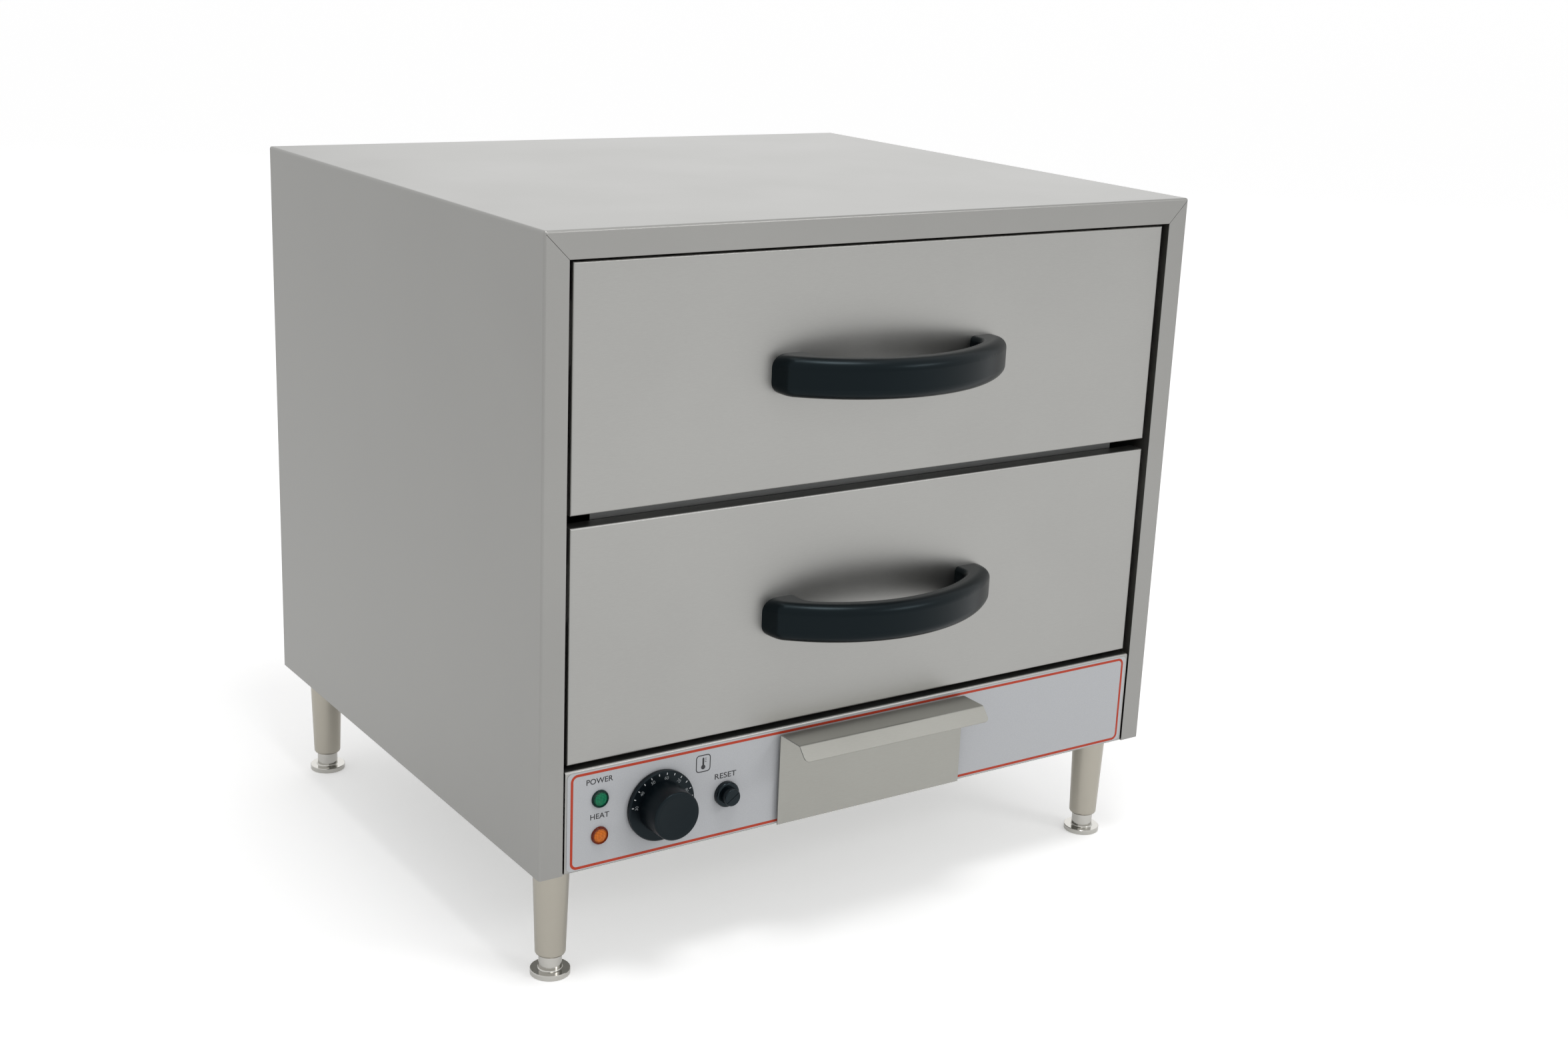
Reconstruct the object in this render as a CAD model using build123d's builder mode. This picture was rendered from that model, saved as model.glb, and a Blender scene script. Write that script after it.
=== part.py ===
from build123d import *
from math import cos, radians, sin, sqrt, tan
import os

# Countertop warming drawer: two drawers with food pans and a water tray in a
# stainless case on four adjustable legs. Millimetres, +Z up, front towards -Y,
# origin on the bench under the middle of the whole machine.

# ---- driving dimensions ----
case_width = 600.0
case_depth = 518.0
case_height = 482.0
leg_height = 97.0  # case bottom above the bench
sheet = 1.0  # stainless sheet of casing and liner
frame_sheet = 1.5  # heavier sheet of carriages and rail
base_sheet = 1.2
base_flange = 27.0
bend_radius = 2.0
flange_width = 19.5  # front edge of the casing, turned in all round
bottom_return = 46.0  # casing sides, turned in under the base
mitre_gap = 0.3
seam_gap = 0.2  # between sheets that slip into each other

drawer_gap_side = 4.5  # front to casing flange, each side
drawer_gap_top = 2.0
drawer_gap_middle = 9.0
panel_gap = 3.8  # control panel to lower drawer
drawer_recess = 3.0
front_depth = 14.0  # folded edge of a drawer front
front_bend = 1.5
seal_gap = 1.0  # closed front to middle rail

panel_height = 82.5
panel_setback = 0.5
panel_side_gap = 1.8
panel_flange = 18.0
overlay_thickness = 0.4
overlay_inset_side = 1.6
overlay_inset_bottom = 1.8
overlay_inset_top = 2.0
overlay_corner = 4.0

handle_length = 218.0  # over the flat ends, on the drawer face
handle_reach = 57.7
handle_height = 31.2
handle_drop = 2.4  # below the middle of the front
handle_end = 30.5
handle_thickness = 16.2
handle_front_radius = 147.0
handle_side_draft = 20.0  # degrees that the ends lean in
handle_corner = 10.0
handle_end_margin = 2.0  # end faces inside the rounded front outline
handle_end_round = 14.5  # of the ends, seen from the front
handle_finger_round = 12.0  # corners of the finger gap
handle_outer_round = 8.5
handle_inner_round = 4.5
handle_screw_radius = 2.5
handle_screw_depth = 17.0
handle_screw_inset = 17.0  # from the handle's end
screw_head_radius = 4.5
screw_head_height = 3.0

slide_length = 400.0
slide_setback = 22.0
slide_height = 45.0
slide_width = 12.7
slide_web = 1.5
slide_arm = 2.0
slide_play = 0.35
slide_level = 128.0  # middle of the slide above the front's lower edge

carriage_low = 95.0  # above the front's lower edge
carriage_high = 172.0
pan_level = 164.8  # underside of the pan's rim above the front's lower edge
pan_width = 325.0  # front to back, of a standard 530 x 325 pan set across
pan_rim = 12.0
pan_depth = 150.0
pan_wall = 1.0
pan_corner = 28.0
pan_foot_round = 18.0
pan_draft = 4.0
pan_play = 2.4  # rim in the carriage
pan_slip = 1.5  # body in the ledge

liner_floor_level = 65.0
liner_top_gap = 19.0  # below the top of the case
liner_play = 1.1  # drawer opening to liner wall
liner_back_gap = 15.0  # ahead of the back of the case
rail_depth = 25.0
rail_margin = 4.5  # rail's lap behind each drawer front
rail_notch = 29.5  # cut-out for the slides at each end
vapour_width = 140.0
vapour_length = 180.0
vapour_depth = 190.0
vapour_corner = 12.0

tray_width = 168.0
tray_depth = 300.0
tray_height = 46.0
tray_wall = 0.8
tray_play = 2.0  # tray in the panel's opening
tray_front_width = 182.0
tray_front_low = 1.5
tray_front_high = 78.5
tray_front_gap = 3.0  # plate ahead of the flange's plane
lip_reach = 26.0
lip_flange = 14.0
lip_angle = 48.0
lip_corner = 4.0
tray_corner = 8.0
tray_foot_round = 4.0
runner_x = 80.0
runner_length = 290.0
run_bend = 1.2
runner_height = 6.0
runner_flange = 14.0

lamp_inset = 30.9  # controls from the left edge of the opening
power_lamp_level = 56.3
heat_lamp_level = 26.6
lamp_radius = 7.1
lamp_height = 3.2
lamp_neck_radius = 6.0
lamp_body_length = 26.0

dial_inset = 82.5
dial_level = 41.0
dial_skirt_radius = 28.5
dial_skirt_thickness = 4.0
dial_grip_radius = 20.0
dial_height = 26.0
dial_gap = 1.0
dial_wall = 6.0  # grip in front of the shaft's tip
dial_skirt_bevel = 0.8
dial_grip_draft = 1.5
dial_grip_round = 1.5
dial_dish_radius = 15.5  # shallow hollow in the grip's face
dial_dish_depth = 0.6
bush_radius = 4.8
shaft_radius = 3.0
shaft_flat = 2.2
shaft_inner = 16.0  # shaft inside the thermostat
thermostat_size = 42.0
thermostat_depth = 30.0

reset_inset = 142.2
reset_level = 37.2
collar_radius = 10.35
collar_height = 4.6
button_radius = 7.0
button_reach = 11.1
button_travel = 3.0
button_stem_radius = 2.5
button_stem_length = 10.0
button_round = 1.0
slot_width = 0.5
slot_depth = 0.3
slot_turn = 35.0
collar_round = 1.6
collar_web = 1.0
reset_bore_depth = 14.0
reset_neck_radius = 5.95
reset_body_size = 18.0
reset_body_depth = 22.0

element_radius = 4.0
element_bend = 24.0
element_level = 74.0
element_tail_x = 30.0
element_tail_gap = 6.0
element_rear_gap = 48.0  # run along the back, ahead of the cavity wall
element_front = 60.0
element_turn_gap = 118.0
element_side_gap = 46.6  # outer run to cavity wall
element_inner_x = 95.0
clip_depth = 210.0
clip_width = 14.0
clip_length = 10.0
bulb_radius = 3.0
bulb_length = 110.0
bulb_level = 250.0

leg_inset_side = 27.4
leg_inset_front = 32.9
rear_flange = 12.0
vent_width = 44.0
vent_height = 5.0
vent_columns = 4
vent_rows = 2
vent_pitch_x = 62.0
vent_pitch_z = 15.0
vent_level = 33.0
vent_x = -60.0

leg_top_radius = 14.4
leg_foot_radius = 11.9
leg_tube_length = 80.3
stud_radius = 5.0
stud_height = 10.0
stem_radius = 9.1
stem_length = 45.0  # inside the leg at rest
foot_radius = 15.75
foot_thickness = 4.5
foot_lift = 8.0  # how far a foot screws in
foot_neck_round = 1.2
foot_bevel = 0.4
nut_width = 17.0
nut_height = 8.0

gland_inset = 80.0  # from the right side of the case
gland_level = 34.0
gland_reach = 18.0
gland_bore_radius = 5.0
gland_neck_radius = 10.0
gland_flange_radius = 13.5
gland_dome_radius = 11.0
gland_hex_height = 6.0
gland_nut_height = 5.0
gland_round = 2.0

terminal_length = 46.0
terminal_width = 18.0
terminal_height = 16.0
terminal_setback = 60.0  # block's middle ahead of the back of the case
terminal_ways = 3
terminal_pitch = 15.0
terminal_wire_radius = 2.2
terminal_wire_level = 5.0
terminal_screw_radius = 2.0
terminal_screw_depth = 8.0

run_fit = 0.05  # radial, shaft in hole
clearance = 0.3  # between pieces that move past each other
hole_clearance = 0.25  # radial, screw in hole

# ---- places worked out from them ----
machine_depth = handle_reach - drawer_recess + case_depth + gland_reach
case_front = handle_reach - drawer_recess - machine_depth / 2
case_bottom = leg_height
half_width = case_width / 2
opening_half = half_width - flange_width
opening_top = case_height - flange_width - sheet
liner_half = opening_half + liner_play
liner_top_level = case_height - liner_top_gap
liner_back_setback = case_depth - liner_back_gap
front_width = 2 * (opening_half - drawer_gap_side)
lower_front = panel_height + panel_gap
front_height = (opening_top - drawer_gap_top - drawer_gap_middle - lower_front) / 2
upper_front = lower_front + front_height + drawer_gap_middle
front_back = drawer_recess + front_depth
carriage_half = liner_half - slide_width
carriage_depth = pan_width + 2 * pan_play + 2 * frame_sheet
pan_length = 2 * (carriage_half - frame_sheet - pan_play)
handle_screw_x = handle_length / 2 - handle_screw_inset
lamp_x = lamp_inset - opening_half
dial_x = dial_inset - opening_half
reset_x = reset_inset - opening_half
gland_x = half_width - gland_inset
element_outer_x = liner_half - element_side_gap
element_rear = liner_back_setback - element_rear_gap
element_turn = liner_back_setback - element_turn_gap
leg_x = half_width - leg_inset_side
leg_depths = (leg_inset_front, case_depth - leg_inset_front)
overlay_front = panel_setback - overlay_thickness
panel_back = panel_setback + sheet
pan_body_length = pan_length - 2 * pan_rim
pan_body_width = pan_width - 2 * pan_rim
pan_centre = front_back + carriage_depth / 2
tray_low = sheet + base_sheet + runner_height + clearance
cavity_front = panel_setback + panel_flange - sheet
base_front = panel_setback + bend_radius + clearance


# Three planes place every sketch, in distances from the case: x from the
# middle, depth behind the front flange and height above the case bottom.
def across(depth):
    return Plane(origin=(0, case_front + depth, case_bottom), x_dir=(1, 0, 0), z_dir=(0, -1, 0))


def level(height):
    return Plane(origin=(0, case_front, case_bottom + height))


def along(x):
    return Plane(origin=(x, case_front, case_bottom), x_dir=(0, 1, 0), z_dir=(1, 0, 0))


def folded(points, thickness, bend):
    """Inside a sketch: edge view of a bent sheet, on the left of the points."""
    with BuildLine() as fold:
        FilletPolyline(*points, radius=bend)
        offset(amount=thickness, side=Side.LEFT)
    make_face(fold.edges())


def plate(x_range, y_range, mode=Mode.ADD):
    """Inside a sketch: rectangle from its two ranges."""
    (x_low, x_high), (y_low, y_high) = x_range, y_range
    with Locations(((x_low + x_high) / 2, (y_low + y_high) / 2)):
        Rectangle(x_high - x_low, y_high - y_low, mode=mode)


def save(piece, label):
    piece.part.label = label
    export_step(piece.part, f"parts/{label}.step")


os.makedirs("parts", exist_ok=True)


# ---- casing ----
def case_outline(sketch):
    """Front view of the casing, with its two rounded top folds."""
    plate((-half_width, half_width), (0, case_height))
    fillet(sketch.vertices().group_by(Axis.Y)[-1], bend_radius)


def on_outer_fold(edge):
    middle = edge.center()
    on_side = abs(middle.X) > half_width - bend_radius
    on_top = middle.Z > case_bottom + case_height - bend_radius
    return abs(middle.Y - case_front) < sheet / 2 and (on_side or on_top)


# One sheet makes the top and both sides. Its front edges turn in as a flange,
# mitred at the top corners, and its lower edges turn in under the base.
with BuildPart() as outer_wrapper:
    with BuildSketch(across(0)) as wrap_section:
        case_outline(wrap_section)
        offset(amount=-sheet, mode=Mode.SUBTRACT)
        return_edge = half_width - bottom_return
        plate((-return_edge, return_edge), (-sheet, 2 * sheet), mode=Mode.SUBTRACT)
    extrude(amount=-case_depth)
    with BuildSketch(across(0)) as flange_outline:
        case_outline(flange_outline)
        plate((-opening_half, opening_half), (-sheet, opening_top), mode=Mode.SUBTRACT)
    extrude(amount=-sheet)
    fillet(outer_wrapper.edges().filter_by(on_outer_fold), bend_radius)
    with BuildSketch(across(0)) as mitres:
        reach = flange_width / 2 - bend_radius
        for side in (-1, 1):
            with Locations((side * (opening_half + reach), opening_top + reach)):
                Rectangle(mitre_gap, (flange_width + sheet) * sqrt(2), rotation=-45 * side)
    extrude(amount=-sheet, mode=Mode.SUBTRACT)
    with BuildSketch(level(0)) as stud_holes:
        with Locations(*[(side * leg_x, depth) for side in (-1, 1) for depth in leg_depths]):
            Circle(stud_radius + hole_clearance)
    extrude(amount=sheet, mode=Mode.SUBTRACT)
    with BuildSketch(level(0)) as panel_notch:
        plate((-opening_half, opening_half), (-sheet, panel_back + clearance))
    extrude(amount=sheet, mode=Mode.SUBTRACT)
save(outer_wrapper, "outer_wrapper")

# The base lies on the turned-in edges of the casing. Its own edges stand up
# along the sides, and a nut is welded over each leg's stud.
with BuildPart() as base_pan:
    with BuildSketch(across(base_front)) as base_section:
        edge_x = half_width - sheet - seam_gap
        base_edge = [(-edge_x, base_flange), (-edge_x, sheet), (edge_x, sheet), (edge_x, base_flange)]
        folded(base_edge, base_sheet, bend_radius)
    extrude(amount=base_front - case_depth + rear_flange + sheet + seam_gap)
    with BuildSketch(level(sheet)) as base_tail:
        plate((-edge_x + bend_radius, edge_x - bend_radius), (case_depth / 2, case_depth - sheet))
    extrude(amount=base_sheet)
    with BuildSketch(level(sheet + base_sheet)) as leg_nuts:
        with Locations(*[(side * leg_x, depth) for side in (-1, 1) for depth in leg_depths]):
            RegularPolygon(nut_width / 2, 6, major_radius=False)
    extrude(amount=nut_height)
    with BuildSketch(level(sheet)) as stud_bores:
        with Locations(*[(side * leg_x, depth) for side in (-1, 1) for depth in leg_depths]):
            Circle(stud_radius + run_fit)
    extrude(amount=base_sheet + nut_height, mode=Mode.SUBTRACT)
save(base_pan, "base_pan")

# The back is a shallow pan that slips into the casing, with vents for the
# control space and a hole for the cable gland.
with BuildPart() as rear_panel:
    with BuildSketch(across(case_depth)) as rear_outline:
        rear_half = half_width - sheet - seam_gap
        rear_low = sheet + base_sheet + seam_gap
        plate((-rear_half, rear_half), (rear_low, case_height - sheet - seam_gap))
        fillet(rear_outline.vertices().group_by(Axis.Y)[-1], 2 * bend_radius)
    extrude(amount=rear_flange)
    fillet(rear_panel.faces().sort_by(Axis.Y)[-1].edges(), bend_radius)
    with BuildSketch(across(case_depth - sheet)) as rear_hollow:
        add(rear_outline.sketch_local)
        offset(amount=-sheet, mode=Mode.REPLACE)
    extrude(amount=rear_flange, mode=Mode.SUBTRACT)
    with BuildSketch(across(case_depth)) as rear_holes:
        with Locations((vent_x, vent_level)):
            with GridLocations(vent_pitch_x, vent_pitch_z, vent_columns, vent_rows):
                SlotOverall(vent_width, vent_height)
        with Locations((gland_x, gland_level)):
            Circle(gland_neck_radius + hole_clearance)
    extrude(amount=sheet, mode=Mode.SUBTRACT)
save(rear_panel, "rear_panel")

# A channel crosses the front behind the gap between the drawers, and is
# notched at its ends beside the slides.
with BuildPart() as middle_rail:
    with BuildSketch(along(-liner_half)) as rail_section:
        rail_front = front_back + seal_gap
        rail_low = upper_front - drawer_gap_middle - rail_margin
        rail_high = upper_front + rail_margin
        rail_back = rail_front + rail_depth
        rail_edge = [
            (rail_back, rail_high),
            (rail_front, rail_high),
            (rail_front, rail_low),
            (rail_back, rail_low),
        ]
        folded(rail_edge, frame_sheet, bend_radius)
    extrude(amount=2 * liner_half)
    with BuildSketch(across(rail_front)) as rail_notches:
        for side in (-1, 1):
            notch = sorted((side * liner_half, side * (liner_half - rail_notch)))
            plate(notch, (rail_low + 2 * frame_sheet, rail_high - 2 * frame_sheet))
    extrude(amount=-frame_sheet, mode=Mode.SUBTRACT)
save(middle_rail, "middle_rail")


# ---- heated cavity ----
def liner_side(side):
    """Cavity wall whose upper and lower edges turn out to the casing."""
    far = half_width - sheet - seam_gap
    low = liner_floor_level
    high = liner_top_level + sheet
    edge = [(far, high), (liner_half, high), (liner_half, low), (far, low)]
    with BuildPart() as wall:
        with BuildSketch(across(sheet + clearance)):
            folded([(side * x, z) for x, z in edge][::side], sheet, bend_radius)
        extrude(amount=-(liner_back_setback - sheet - clearance))
    return wall


for side, hand in ((-1, "left"), (1, "right")):
    save(liner_side(side), f"liner_{hand}")

with BuildPart() as liner_top:
    with BuildSketch(level(liner_top_level)) as top_outline:
        plate((-liner_half, liner_half), (sheet + clearance, liner_back_setback))
    extrude(amount=sheet)
save(liner_top, "liner_top")

# The back wall passes the two cold ends of the heating element.
with BuildPart() as liner_back:
    with BuildSketch(across(liner_back_setback)) as back_outline:
        plate((-liner_half, liner_half), (liner_floor_level, liner_top_level + sheet))
        with Locations((-element_tail_x, element_level), (element_tail_x, element_level)):
            Circle(element_radius + hole_clearance, mode=Mode.SUBTRACT)
    extrude(amount=-sheet)
save(liner_back, "liner_back")

# The floor turns up at the front to meet the control panel, and lets the
# vapour of the water tray rise through an opening.
with BuildPart() as liner_floor:
    with BuildSketch(along(-liner_half)) as floor_section:
        floor_high = panel_height - sheet
        floor_edge = [
            (cavity_front, floor_high),
            (cavity_front, liner_floor_level),
            (liner_back_setback, liner_floor_level),
        ]
        folded(floor_edge, sheet, bend_radius)
    extrude(amount=2 * liner_half)
    with BuildSketch(level(liner_floor_level)) as vapour_opening:
        with Locations((0, vapour_depth)):
            RectangleRounded(vapour_width, vapour_length, vapour_corner)
    extrude(amount=sheet, mode=Mode.SUBTRACT)
save(liner_floor, "liner_floor")

# Mineral wool fills the space between cavity and casing.
with BuildPart() as insulation_slabs:
    slab_outer = half_width - sheet - seam_gap
    slab_back = case_depth - sheet - seam_gap
    for side in (-1, 1):
        with BuildSketch(level(liner_floor_level + bend_radius)) as side_slab:
            slab_edges = sorted((side * (liner_half + sheet), side * slab_outer))
            plate(slab_edges, (cavity_front, liner_back_setback))
        extrude(amount=liner_top_level + sheet - liner_floor_level - 2 * bend_radius)
    with BuildSketch(level(liner_top_level + sheet)) as top_slab:
        plate((-liner_half, liner_half), (2 * bend_radius, liner_back_setback))
    extrude(amount=case_height - liner_top_level - 2 * sheet)
    with BuildSketch(across(liner_back_setback + sheet)) as back_slab:
        plate((-liner_half, liner_half), (element_level + 3 * element_radius, liner_top_level))
    extrude(amount=-(slab_back - liner_back_setback - sheet))
save(insulation_slabs, "insulation_slabs")

# A sheathed element snakes over the floor, round the vapour opening, and
# leaves through the back wall.
with BuildPart() as heating_element:
    element_half = [
        (element_tail_x, case_depth - element_tail_gap),
        (element_tail_x, element_rear),
        (element_outer_x, element_rear),
        (element_outer_x, element_front),
        (element_inner_x, element_front),
        (element_inner_x, element_turn),
    ]
    element_other = [(-x, depth) for x, depth in element_half[::-1]]
    with BuildLine(level(element_level)) as element_route:
        FilletPolyline(*element_half, *element_other, radius=element_bend)
    with BuildSketch(Plane(element_route.line @ 0, z_dir=element_route.line % 0)) as element_section:
        Circle(element_radius)
    sweep()
save(heating_element, "heating_element")

# Saddles hold the element above the floor.
with BuildPart() as element_clips:
    for x in (-element_outer_x, -element_inner_x, element_inner_x, element_outer_x):
        with BuildSketch(across(clip_depth)) as clip_section:
            foot = liner_floor_level + sheet
            plate((x - clip_width / 2, x + clip_width / 2), (foot, element_level))
            with Locations((x, element_level)):
                Circle(clip_width / 2)
                Circle(element_radius + run_fit, mode=Mode.SUBTRACT)
        extrude(amount=-clip_length)
save(element_clips, "element_clips")

# The thermostat's bulb lies along the back wall in two saddles.
with BuildPart() as thermostat_bulb:
    saddle_radius = 1.5 * bulb_radius
    bulb_depth = liner_back_setback - 2 * saddle_radius
    with BuildSketch(along(-bulb_length / 2)) as bulb_section:
        with Locations((bulb_depth, bulb_level)):
            Circle(bulb_radius)
    extrude(amount=bulb_length)
    for x in (-bulb_length / 3, bulb_length / 3):
        with BuildSketch(along(x - bulb_radius)) as saddle:
            with Locations((bulb_depth, bulb_level)):
                Circle(saddle_radius)
            plate((bulb_depth, liner_back_setback), (bulb_level - saddle_radius, bulb_level + saddle_radius))
        extrude(amount=2 * bulb_radius)
save(thermostat_bulb, "thermostat_bulb")


# ---- drawers ----
def channel(side, x_range, centre, height, opens_out):
    """Inside a sketch: C section of one slide member, web on its closed side."""
    x_low, x_high = x_range
    middle = (x_low + x_high) / 2
    shift = slide_web if opens_out else -slide_web
    with Locations((side * middle, centre)):
        Rectangle(x_high - x_low, height)
    with Locations((side * (middle + shift), centre)):
        Rectangle(x_high - x_low, height - 2 * slide_arm, mode=Mode.SUBTRACT)


def slide_members(low, side):
    """Outer, middle and inner members of one telescopic slide, closed."""
    inner_edge = liner_half - slide_width + slide_web - slide_play
    middle_edge = liner_half - slide_web - slide_play
    inner_outer_edge = middle_edge - slide_web - slide_play
    step = 2 * (slide_arm + slide_play)
    sections = {
        "outer": ((inner_edge, liner_half), slide_height, False),
        "middle": ((inner_edge, middle_edge), slide_height - step, False),
        "inner": ((carriage_half, inner_outer_edge), slide_height - 2 * step, True),
    }
    centre = low + slide_level
    for member, (x_range, height, opens_out) in sections.items():
        with BuildPart() as rail:
            with BuildSketch(across(slide_setback)):
                channel(side, x_range, centre, height, opens_out)
            extrude(amount=-slide_length)
        yield member, rail


def front_inside(low):
    """Inside a sketch: a drawer front's outline, less its sheet."""
    inner_half = front_width / 2 - sheet
    plate((-inner_half, inner_half), (low + sheet, low + front_height - sheet))


def handle_middle(low):
    return low + front_height / 2 - handle_drop


def screw_places(low):
    middle = handle_middle(low)
    return Locations((-handle_screw_x, middle), (handle_screw_x, middle))


def drawer_front(low):
    """Folded front, hollow behind, with two holes for the handle's screws."""
    with BuildPart() as front:
        with BuildSketch(across(drawer_recess)):
            plate((-front_width / 2, front_width / 2), (low, low + front_height))
        extrude(amount=-front_depth)
        fillet(front.faces().sort_by(Axis.Y)[0].edges(), front_bend)
        with BuildSketch(across(drawer_recess + sheet)):
            front_inside(low)
        extrude(amount=-front_depth, mode=Mode.SUBTRACT)
        with BuildSketch(across(drawer_recess)):
            with screw_places(low):
                Circle(handle_screw_radius + hole_clearance)
        extrude(amount=-sheet, mode=Mode.SUBTRACT)
    return front


def front_liner(low):
    """Inner skin that closes the folded front and carries the carriage."""
    with BuildPart() as skin:
        with BuildSketch(across(front_back - sheet)):
            front_inside(low)
        extrude(amount=-sheet)
    return skin


def handle(low):
    """Moulded bow: arcs in front and behind, and two solid rounded ends."""
    middle = handle_middle(low)
    end = handle_length / 2
    lean = handle_reach * tan(radians(handle_side_draft))
    finger_half = end - handle_end
    bow_tip = drawer_recess - handle_reach
    arc_centre = bow_tip + handle_front_radius

    def ahead_of_front(edge):
        return edge.center().Y < case_front + drawer_recess - run_fit

    def level_rims(edges):
        upright = edges.filter_by(Axis.Z)
        return (edges - upright).filter_by(ahead_of_front)

    with BuildPart() as bow:
        with BuildSketch(level(middle - handle_height / 2)) as bow_plan:
            with Locations((0, arc_centre)):
                Circle(handle_front_radius)
            with BuildLine():
                Polyline(
                    (-end, drawer_recess),
                    (end, drawer_recess),
                    (end - lean, bow_tip),
                    (lean - end, bow_tip),
                    close=True,
                )
            make_face(mode=Mode.INTERSECT)
            fillet(bow_plan.vertices().group_by(Axis.Y)[0], handle_corner)
        extrude(amount=handle_height)
        with BuildSketch(across(drawer_recess)):
            with Locations((0, middle)):
                RectangleRounded(handle_length + 2 * handle_end_margin, handle_height, handle_end_round)
        extrude(amount=handle_reach, mode=Mode.INTERSECT)
        fillet(level_rims(bow.edges()), handle_outer_round)
        with BuildSketch(level(middle - handle_height / 2)) as finger_gap:
            with Locations((0, arc_centre)):
                Circle(handle_front_radius - handle_thickness)
            plate((-finger_half, finger_half), (bow_tip, drawer_recess), mode=Mode.INTERSECT)
            fillet(finger_gap.vertices().group_by(Axis.Y)[0], handle_finger_round)
        extrude(amount=handle_height, mode=Mode.SUBTRACT)
        fillet(level_rims(bow.edges(Select.LAST)), handle_inner_round)
        with BuildSketch(across(drawer_recess)):
            with screw_places(low):
                Circle(handle_screw_radius + run_fit)
        extrude(amount=handle_screw_depth, mode=Mode.SUBTRACT)
    return bow


def handle_screws(low):
    """Two pan-head screws, from inside the front into the handle's ends."""
    with BuildPart() as screws:
        with BuildSketch(across(drawer_recess + sheet)):
            with screw_places(low):
                Circle(screw_head_radius)
        extrude(amount=-screw_head_height)
        with BuildSketch(across(drawer_recess + sheet)):
            with screw_places(low):
                Circle(handle_screw_radius)
        extrude(amount=sheet + handle_screw_depth)
    return screws


def carriage(low):
    """Open frame between the slides, with a ledge for the pan's rim."""
    with BuildPart() as frame:
        with BuildSketch(level(low + carriage_low)):
            plate((-carriage_half, carriage_half), (front_back, front_back + carriage_depth))
            offset(amount=-frame_sheet, kind=Kind.INTERSECTION, mode=Mode.SUBTRACT)
        extrude(amount=carriage_high - carriage_low)
        with BuildSketch(level(low + pan_level - frame_sheet)):
            plate((-carriage_half, carriage_half), (front_back, front_back + carriage_depth))
            with Locations((0, pan_centre)):
                RectangleRounded(
                    pan_body_length + 2 * pan_slip,
                    pan_body_width + 2 * pan_slip,
                    pan_corner + pan_slip,
                    mode=Mode.SUBTRACT,
                )
        extrude(amount=frame_sheet)
    return frame


def pan_block(low, inset):
    """Drafted block with a rounded foot, in from the pan's outside by the inset."""
    with BuildPart() as block:
        with BuildSketch(level(low + pan_level)):
            with Locations((0, pan_centre)):
                RectangleRounded(
                    pan_body_length - 2 * inset,
                    pan_body_width - 2 * inset,
                    pan_corner - inset,
                )
        extrude(amount=inset - pan_depth, taper=pan_draft)
        fillet(block.faces().sort_by(Axis.Z)[0].edges(), pan_foot_round - inset)
    return block.part


def food_pan(low):
    """Drawn pan with drafted walls, a rounded foot and a flat rim."""
    outside = pan_block(low, 0)
    inside = pan_block(low, pan_wall)
    with BuildPart() as pan:
        add(outside)
        add(inside, mode=Mode.SUBTRACT)
        with BuildSketch(level(low + pan_level)):
            with Locations((0, pan_centre)):
                RectangleRounded(pan_length, pan_width, pan_corner)
                RectangleRounded(
                    pan_body_length - 2 * pan_wall,
                    pan_body_width - 2 * pan_wall,
                    pan_corner - pan_wall,
                    mode=Mode.SUBTRACT,
                )
        extrude(amount=pan_wall)
    return pan


for drawer, low in (("lower", lower_front), ("upper", upper_front)):
    for side, hand in ((-1, "left"), (1, "right")):
        for member, rail in slide_members(low, side):
            save(rail, f"{drawer}_slide_{member}_{hand}")
    save(drawer_front(low), f"{drawer}_drawer_front")
    save(front_liner(low), f"{drawer}_front_liner")
    save(handle(low), f"{drawer}_handle")
    save(handle_screws(low), f"{drawer}_handle_screws")
    save(carriage(low), f"{drawer}_carriage")
    save(food_pan(low), f"{drawer}_food_pan")


# ---- control panel ----
def control_holes():
    """Inside a sketch: the holes of the panel and its film."""
    with Locations((lamp_x, power_lamp_level), (lamp_x, heat_lamp_level)):
        Circle(lamp_neck_radius + hole_clearance)
    with Locations((dial_x, dial_level)):
        Circle(bush_radius + hole_clearance)
    with Locations((reset_x, reset_level)):
        Circle(reset_neck_radius + run_fit)
    tray_half = tray_width / 2 + tray_play
    plate((-tray_half, tray_half), (tray_low - tray_play, tray_low + tray_height + tray_play))


# A folded sheet closes the space under the drawers.
with BuildPart() as control_panel:
    panel_half = opening_half - panel_side_gap
    with BuildSketch(along(-panel_half)) as panel_section:
        panel_edge = [
            (panel_setback + panel_flange + sheet, panel_height),
            (panel_setback, panel_height),
            (panel_setback, 0),
            (panel_setback + panel_flange, 0),
        ]
        folded(panel_edge, sheet, bend_radius)
    extrude(amount=2 * panel_half)
    with BuildSketch(level(0)) as return_ends:
        for side in (-1, 1):
            end_edges = sorted((side * panel_half, side * (return_edge - clearance)))
            plate(end_edges, (panel_back, panel_back + panel_flange))
    extrude(amount=2 * sheet, mode=Mode.SUBTRACT)
    with BuildSketch(across(panel_setback)) as panel_holes:
        control_holes()
    extrude(amount=-sheet, mode=Mode.SUBTRACT)
save(control_panel, "control_panel")

# A printed film covers the panel's face.
with BuildPart() as panel_overlay:
    with BuildSketch(across(panel_setback)) as film:
        film_half = panel_half - overlay_inset_side
        plate((-film_half, film_half), (overlay_inset_bottom, panel_height - overlay_inset_top))
        fillet(film.vertices(), overlay_corner)
    extrude(amount=overlay_thickness)
    with BuildSketch(across(panel_setback)) as film_holes:
        control_holes()
    extrude(amount=overlay_thickness, mode=Mode.SUBTRACT)
save(panel_overlay, "panel_overlay")


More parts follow.
